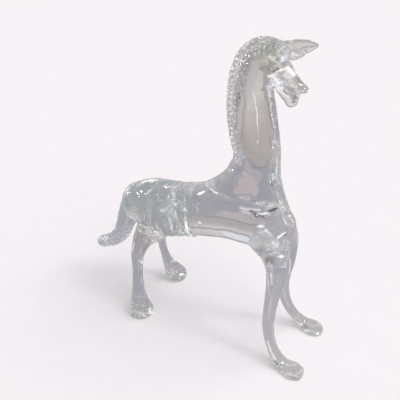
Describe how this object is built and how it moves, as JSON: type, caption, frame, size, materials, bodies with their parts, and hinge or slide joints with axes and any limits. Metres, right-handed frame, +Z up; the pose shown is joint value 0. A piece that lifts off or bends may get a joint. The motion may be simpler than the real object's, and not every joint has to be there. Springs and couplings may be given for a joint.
{
  "type": "glass horse figurine",
  "caption": "Standing horse of solid clear glass with an arched neck, a pinched mane, a flicked tail and round pad feet.",
  "frame": {"origin": "on the surface the horse stands on, under the middle of its box", "axes": "+X where the horse faces, +Y its left side, +Z up"},
  "size_m": [0.2726, 0.0974, 0.3],
  "materials": {
    "clear_glass": "clear hot-worked glass with a fire-polished skin"
  },
  "bodies": {
    "root": {"glass_horse": "clear_glass"}
  },
  "joints": []
}
